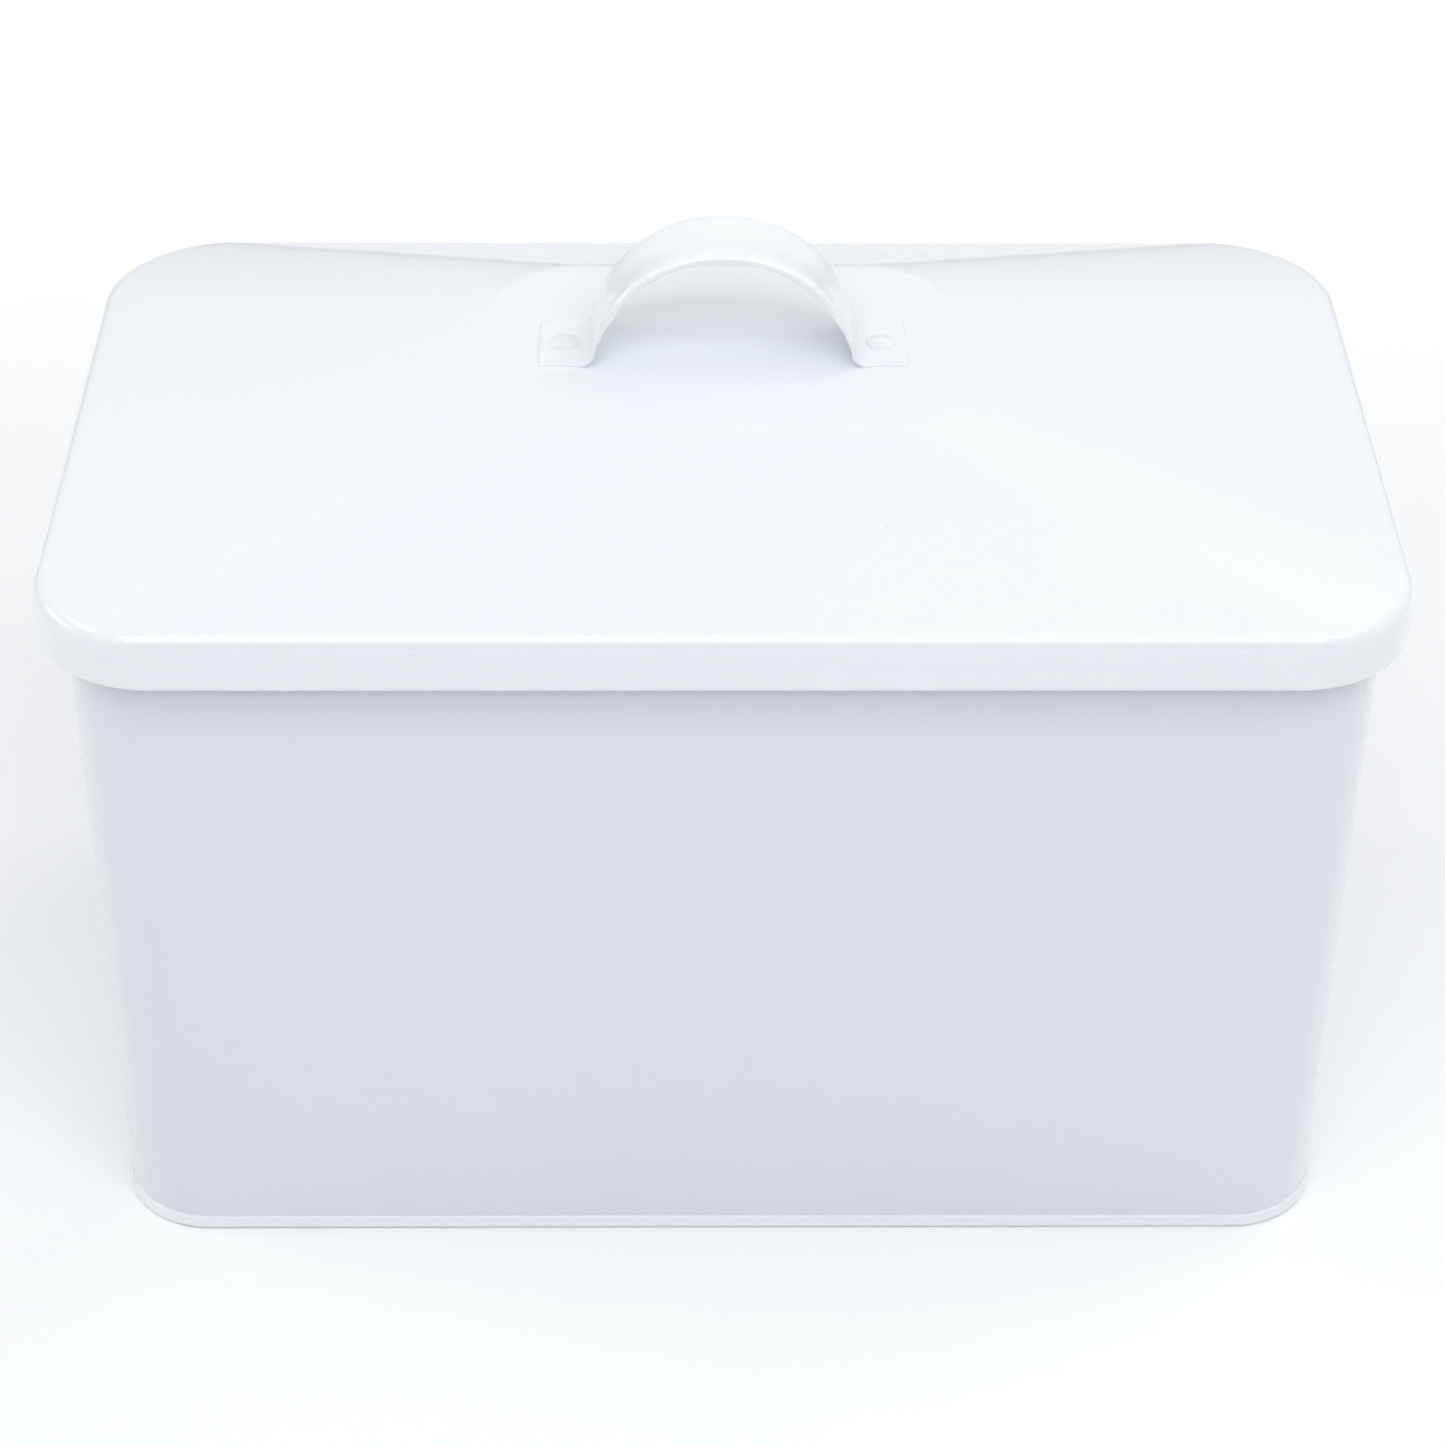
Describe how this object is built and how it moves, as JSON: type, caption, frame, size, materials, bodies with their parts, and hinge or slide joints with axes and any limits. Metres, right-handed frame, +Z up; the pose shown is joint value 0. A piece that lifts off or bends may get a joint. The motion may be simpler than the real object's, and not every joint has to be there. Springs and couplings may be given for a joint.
{
  "type": "bread bin",
  "caption": "Upright white steel bread bin with rounded corners, a loose lift-off lid with four gentle slopes and an arched strap handle riveted on.",
  "frame": {"origin": "on the ground under the middle of the closed bin", "axes": "+Z up, +X along the bin's length to the right as seen from the front, +Y from front to back"},
  "size_m": [0.33, 0.19, 0.2492],
  "materials": {
    "bin_coating": "gloss white coating on sheet steel",
    "lid_coating": "gloss white coating on sheet steel",
    "handle_coating": "gloss white coating on a steel strap",
    "rivet_coating": "gloss white coating over a steel rivet"
  },
  "bodies": {
    "bin": {"body_wall": "bin_coating", "body_floor": "bin_coating"},
    "lid": {"lid_shell": "lid_coating", "handle_strap": "handle_coating", "rivet_left": "rivet_coating", "rivet_right": "rivet_coating"}
  },
  "joints": [
    {"name": "lid_lift", "type": "slide", "parent": "bin", "child": "lid", "axis": [0, 0, 1], "range_m": [0, 0.25]}
  ]
}
